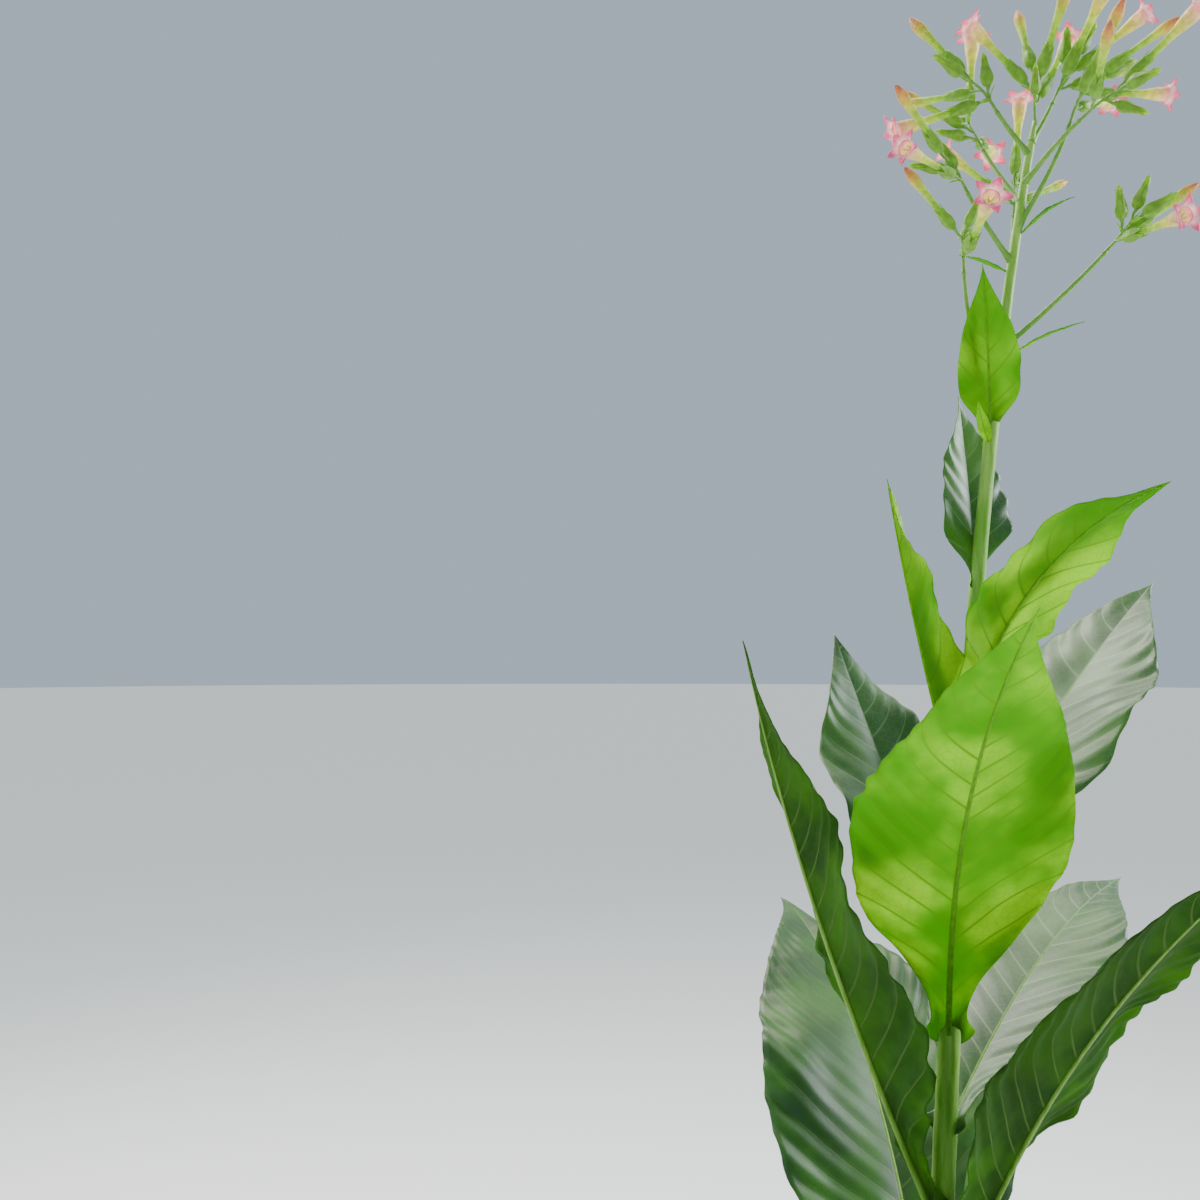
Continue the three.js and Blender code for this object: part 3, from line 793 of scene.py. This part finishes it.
# Where each bough ends, and the balls of space that stem, boughs and blooms take
ends = {"stem": (stem_centre(STEM_TOP), 0, 90)}
taken = []
for name, z, az, length, rise, tip in BOUGHS:
    places = course(stem_centre(z), az, length, rise, tip, BOUGH_STEPS)[0]
    line = rounded(places, BOUGH_SMOOTHING)
    share = np.linspace(0, 1, len(line))
    thicker = BOUGH_FOOT * np.exp(-(share / BOUGH_FOOT_REACH) ** 2)
    radii = mix(BOUGH_RADIUS, BOUGH_TIP_RADIUS, share) + thicker
    finish_piece(dress(limb(f"limb_{name}", line, radii, BOUGH_SIDES), "bough"), "stem", f"bough_{name}")
    ends[name] = (places[-1], az, tip)
    taken += [(point, BOUGH_RADIUS) for point in places[1:]]
for z in range(UPPER_LEAVES[0][0], STEM_TOP, HEAD_STEP):
    taken.append((stem_centre(z), float(stem_radius(z))))


# Blossom: each kind's parts are modelled once, upright, and copied to their places

# Outlines of an open flower's tube, a long bud and a young one: height above the twig, and radius
FLOWER = [(14, 1.6), (20, 1.7), (26, 1.85), (30, 1.95), (34, 2.0), (38, 2.25), (41, 2.7), (44, 3.25),
          (47, 3.75), (50, 4.02), (54.4, 4.22)]
BUD = [(14, 1.4), (20, 1.6), (26, 1.75), (30, 1.9), (33, 2.02), (36, 2.2), (40, 2.65), (43, 3.0),
       (45.5, 3.0), (47.5, 2.62), (49.5, 2.07), (51.5, 1.4), (53, 0.75), (53.5, 0)]
YOUNG = [(13, 1.6), (18, 2.1), (22, 1.8), (24.6, 1.1), (26.4, 0)]

# Heights between which a tube changes colour, and radii between which a flower's star does
TUBE_COLOURS = (19, 56)
STAR_COLOURS = (3.8, 9.0)

# Walls of the corolla, the star and the calyx, and a leaflet's thickness
TUBE_WALL = 0.25
STAR_WALL = 0.22
CALYX_WALL = 0.3
LEAFLET_WALL = 0.25

# The calyx: where its cup starts, its widest radius, the part of a sine's arc that its side
# follows, raised to a power, and its five strong and ten fine ribs
CALYX_FOOT = 7.2
CALYX_RADIUS = 3.45
CALYX_ARC = (0.12, 0.74)
CALYX_POWER = 0.7
CALYX_RIBS = (0.07, 0.02)

# The star: how its lobes taper, and how they bend back and dip between each other
STAR_TAPER = 1.35
STAR_ARC = 0.62
STAR_DIP = 0.35

# A stalk's height, its bends and its radii from the twig to the calyx
STALK_TOP = 8.2
STALK_BENDS = (0.25, 0.2)
STALK_RADII = (0.8, 0.78, 0.75, 0.75, 0.8, 0.9, 1.1, 1.4, 1.5)

# The anthers and stigma: where they start in the throat, their length, spread and radii
ANTHER_FOOT = 44
ANTHER_LENGTH = 8.5
ANTHER_SPREAD = 2.2
ANTHER_RADII = (0.12, 0.12, 0.12, 0.15, 0.4, 0.45, 0.15)
ANTHERS = 5

# A leaflet's foot: how far out from the stalk's axis, and how high
LEAFLET_FOOT = (0.9, 0.6)


def profile(stations):
    """A smooth turned outline through stations of height and radius."""
    heights, radii = zip(*stations)
    share = np.linspace(0, 1, len(stations))
    return lambda t: (np.interp(t, share, heights), np.interp(t, share, radii))


def fifths(angle):
    """1 in the middle of each fifth of a turn, and 0 between them."""
    return 1 - np.abs(2 * ((5 * angle / (2 * np.pi)) % 1) - 1)


def centres(piece):
    """The middles of a piece's faces, in mm."""
    return np.array([face.center for face in piece.data.polygons]) / MM


def shaded(piece, look, count, values, low, high):
    """Deals shades out to a piece's faces, by a value at each between low and high."""
    dress(piece, *[f"{look}_{k}" for k in range(count)])
    index = np.clip((values - low) / (high - low) * count, 0, count - 1).astype(np.int32)
    piece.data.polygons.foreach_set("material_index", index)
    return piece


def tube(name, look, count, stations, sides, steps, lobes):
    """A corolla's tube, in colours that change from its foot to its mouth."""
    outline = profile(stations)

    def shape(angle, t):
        height, radius = outline(t)
        radius = radius * (1 + lobes * np.cos(5 * angle))
        return np.stack([radius * np.cos(angle), radius * np.sin(angle), height], -1)

    piece = rolled(name, sides, steps, shape, wall=TUBE_WALL)
    return shaded(piece, look, count, centres(piece)[:, 2], *TUBE_COLOURS)


def calyx(name, size, tooth, flare):
    """A ribbed green cup that ends in five pointed teeth."""
    def cup(share):
        return CALYX_RADIUS * np.sin(np.pi * mix(*CALYX_ARC, share)) ** CALYX_POWER

    def shape(angle, t):
        top = size + tooth * fifths(angle) ** 0.9
        height = CALYX_FOOT + (top - CALYX_FOOT) * t
        share = np.clip((height - CALYX_FOOT) / (size - CALYX_FOOT), 0, 1.6)
        radius = np.where(share < 1, cup(np.minimum(share, 1)), cup(1.0) + flare * (share - 1))
        ribs = 1 + CALYX_RIBS[0] * np.cos(5 * angle) + CALYX_RIBS[1] * np.cos(10 * angle)
        radius = radius * np.clip(share * 8 + 0.25, 0, 1) * ribs
        return np.stack([radius * np.cos(angle), radius * np.sin(angle), height], -1)

    return rolled(name, sides=40, steps=12, shape=shape, wall=CALYX_WALL)


def star(name, inner, sinus, tip, low, high):
    """Five pointed lobes that spread from the tube's mouth and bend back, pale in their middle
    and pink towards their points."""
    def shape(angle, t):
        reach = mix(sinus, tip, fifths(angle) ** STAR_TAPER)
        radius = mix(inner, reach, t)
        height = mix(low, high, np.sin(np.pi * STAR_ARC * t)) + STAR_DIP * np.cos(5 * angle + np.pi) * t
        return np.stack([radius * np.cos(angle), radius * np.sin(angle), height], -1)

    piece = rolled(name, sides=60, steps=12, shape=shape, wall=STAR_WALL)
    across = np.hypot(*centres(piece)[:, :2].T)
    return shaded(piece, "star", STAR_SHADES, across, *STAR_COLOURS)


def stalk(name):
    """The short bent stalk below a calyx."""
    heights = np.linspace(0, STALK_TOP, len(STALK_RADII))
    line = np.array([[STALK_BENDS[0] * math.sin(h), STALK_BENDS[1] * math.cos(h), h] for h in heights])
    return limb(name, line, np.array(STALK_RADII), sides=8)


def anthers(name):
    """Five anthers on threads, and the stigma, inside the throat."""
    shares = np.linspace(0, 1, len(ANTHER_RADII))
    made = []
    for k in range(ANTHERS + 1):
        turn = 2 * math.pi * k / ANTHERS
        reach = ANTHER_SPREAD if k < ANTHERS else 0
        line = np.array([[reach * math.cos(turn) * h, reach * math.sin(turn) * h,
                          ANTHER_FOOT + ANTHER_LENGTH * h] for h in shares])
        made.append(limb(f"{name}_{k}", line, np.array(ANTHER_RADII), sides=6))
    return joined(name, made)


def leaflet(name, length, width, lean):
    """The small pointed leaf at a stalk's foot."""
    def shape(u, t):
        half = 0.5 * width * np.sin(np.pi * np.clip(0.08 + 0.92 * t, 0, 1) ** 0.7) ** 0.8
        return np.stack([LEAFLET_FOOT[0] + lean * t ** 1.6, half * u,
                         LEAFLET_FOOT[1] + length * t * (1 - 0.2 * t)], -1)

    piece = grid(name, across=4, along=8, shape=shape)
    apply_modifier(piece, "SOLIDIFY", thickness=LEAFLET_WALL * MM, offset=0)
    only(piece)
    bpy.ops.object.shade_smooth()
    return piece


# What each kind of bloom is made of, with the look of each model
MODELS = {
    "O": [(stalk("stalk"), "twig"), (calyx("calyx_open", size=19, tooth=6, flare=0.6), "calyx"),
          (leaflet("leaflet_open", length=9, width=2.2, lean=3.4), "calyx"),
          (tube("flower_tube", "tube", TUBE_SHADES, FLOWER, sides=24, steps=48, lobes=0.02), "tube"),
          (star("star", inner=4.05, sinus=5.6, tip=10.4, low=53.9, high=56.6), "star"),
          (anthers("anthers"), "anther")],
    "B": [(stalk("stalk"), "twig"), (calyx("calyx_bud", size=18, tooth=6, flare=0.0), "calyx"),
          (tube("bud_tube", "bud", BUD_SHADES, BUD, sides=20, steps=48, lobes=0.05), "tube")],
    "C": [(stalk("stalk"), "twig"), (calyx("calyx_young", size=15, tooth=9, flare=-1.3), "calyx"),
          (leaflet("leaflet_young", length=8, width=2.0, lean=3.0), "calyx"),
          (tube("young_tip", "tube", TUBE_SHADES, YOUNG, sides=16, steps=12, lobes=0.05), "tube")],
}
for parts in MODELS.values():
    for model, look in parts:
        if not model.data.materials:
            dress(model, look)


# How far each bloom is spun on its own axis after the one before it, in radians
SPIN_STEP = 1.1

# A twig's sides, how deep it starts inside its bough, and how much thicker it is there
TWIG_SIDES = 10
TWIG_SMOOTHING = 5
TWIG_SUNK = 2
TWIG_FOOT = 0.45
TWIG_FOOT_REACH = 0.2


def touches(balls, others):
    return any(np.linalg.norm(a - b) < p + q + BLOOM_CLEARANCE for a, p in balls for b, q in others)


def bloom_heading(az, rise, spread, turn, share):
    """The way a bloom points: out from its twig's axis, less so towards the twig's tip."""
    axis = heading(az, rise)
    side = np.array([-math.sin(math.radians(az)), math.cos(math.radians(az)), 0])
    up = np.cross(axis, side)
    tilt = math.radians(spread * (1 - SPREAD_CLOSING * share))
    way = (axis * math.cos(tilt) + side * math.sin(tilt) * math.cos(math.radians(turn))
           + up * math.sin(tilt) * math.sin(math.radians(turn)))
    return way / np.linalg.norm(way)


def blossom():
    """Every cluster's twig, and its blooms where the part has them."""
    made = {}
    twigs = []
    random = numbers(RANDOM_SEED + 1)
    for on, az, rise, length, spread, turn0, blooms in CLUSTERS:
        point, end_az, end_rise = ends[on]
        # The shorter way round from the bough's direction to the twig's
        swing = (az - end_az + 540) % 360 - 180
        start = point + heading(end_az, end_rise) * GAP
        places = course(start, end_az, length, end_rise, rise, TWIG_STEPS, swing)[0]
        foot = point - heading(end_az, end_rise) * TWIG_SUNK
        line = rounded(np.array([foot, *places]), TWIG_SMOOTHING)
        share = np.linspace(0, 1, len(line))
        thicker = TWIG_FOOT * np.exp(-(share / TWIG_FOOT_REACH) ** 2)
        radii = mix(TWIG_RADIUS, TWIG_TIP_RADIUS, share) + thicker
        twigs.append(dress(limb(f"twig_{on}", line, radii, TWIG_SIDES), "twig"))
        own = []
        for i, kind in enumerate(blooms):
            share = i / (len(blooms) - 1)
            place = places[min(TWIG_STEPS, 1 + math.floor(share * TWIG_STEPS))]
            size = mix(*BLOOM_SIZES, next(random))
            turn = turn0 + GOLDEN_ANGLE * i + 2 * TURN_JITTER * (next(random) - 0.5)
            for _ in range(MOST_TURNS):
                way = bloom_heading(az, rise, spread, turn, share)
                balls = [(place + way * d * size, max(r * size, 1)) for d, r in ROOM[kind]]
                if not touches(balls, taken) and not touches(balls, own):
                    facing = Vector((0, 0, 1)).rotation_difference(Vector(way)).to_matrix().to_4x4()
                    spin = Matrix.Rotation(i * SPIN_STEP + turn0, 4, "Z")
                    matrix = Matrix.Translation(Vector(place * MM)) @ facing @ spin @ Matrix.Scale(size, 4)
                    for model, look in MODELS[kind]:
                        copy = model.copy()
                        copy.data = model.data.copy()
                        copy.data.transform(matrix)
                        bpy.context.scene.collection.objects.link(copy)
                        made.setdefault(look, []).append(copy)
                    own += balls
                    break
                turn += TURN_STEP
        taken.extend(own)
    made["twig"] += twigs
    return made


PIECE_NAMES = {"twig": "blossom_twigs", "calyx": "blossom_calyces", "tube": "blossom_tubes",
               "star": "blossom_stars", "anther": "blossom_anthers"}
for look, pieces in blossom().items():
    nodes = [f"blossom_{row[0]}" for row in CLUSTERS] if look == "twig" else []
    finish_piece(joined(PIECE_NAMES[look], pieces), "blossom", *nodes)
for parts in MODELS.values():
    for model, look in parts:
        bpy.data.objects.remove(model)


# Floor, light and camera

# All in metres, with the camera at eye level as in the photo, and its pitch in degrees from
# straight down
FLOOR_RADIUS = 40
CAMERA_PLACE = (-0.1505, -0.72, 1.33)
CAMERA_PITCH = 91.72


def floor():
    bpy.ops.mesh.primitive_circle_add(vertices=96, radius=FLOOR_RADIUS, fill_type="NGON")
    ground = bpy.context.object
    ground.name = "pale_floor"
    material, tree = new_material("floor_matt_pale")
    skin = node(tree, "BsdfPrincipled", {"Base Color": "#eceeee", "Roughness": 0.9})
    node(tree, "OutputMaterial", {"Surface": (skin, 0)})
    ground.data.materials.append(material)


def lamp(name, kind, strength, colour):
    light = bpy.data.lights.new(name, kind)
    light.energy = strength
    light.color = linear(colour)[:3]
    made = bpy.data.objects.new(name, light)
    bpy.context.scene.collection.objects.link(made)
    return made


def sun_light(name, source, angle, strength, colour):
    """A sun with soft shadows, whose light comes from the way that source gives."""
    made = lamp(name, "SUN", strength, colour)
    made.data.angle = angle
    made.rotation_euler = Vector(source).to_track_quat("Z", "Y").to_euler()


def area_light(name, place, target, size, power, colour):
    made = lamp(name, "AREA", power, colour)
    made.data.size = size
    made.location = place
    made.rotation_euler = (Vector(target) - Vector(place)).to_track_quat("-Z", "Y").to_euler()


floor()

# The light comes from above and behind, so that it shines through the leaves
sun_light("soft_sun", (0.25, 0.55, 1.0), angle=0.35, strength=1.5, colour="#fff6e4")
area_light("key_above_behind", (-0.9, 1.35, 4.0), (0, 0, 1.1), size=0.7, power=130, colour="#fffaf0")
area_light("rim_behind_left", (-2.0, 1.8, 2.9), (0, 0, 1.1), size=0.9, power=100, colour="#fffaf0")
area_light("rim_right", (2.8, 0.5, 2.4), (0, 0, 1.1), size=1.2, power=165, colour="#f4f8ff")
area_light("fill_front", (-2.2, -2.8, 2.4), (0, 0, 0.9), size=2.4, power=18, colour="#f2f6ff")

world = bpy.data.worlds.new("pale_studio")
bpy.context.scene.world = world
world.use_nodes = True
backdrop = world.node_tree.nodes["Background"]
backdrop.inputs["Color"].default_value = linear("#d2e6f6")
backdrop.inputs["Strength"].default_value = 0.65

camera = bpy.data.cameras.new("camera")
camera.lens = 40
camera.sensor_width = 36
camera.clip_start = 0.01
view = bpy.data.objects.new("camera", camera)
view.location = CAMERA_PLACE
view.rotation_euler = (math.radians(CAMERA_PITCH), 0, 0)
bpy.context.scene.collection.objects.link(view)
bpy.context.scene.camera = view
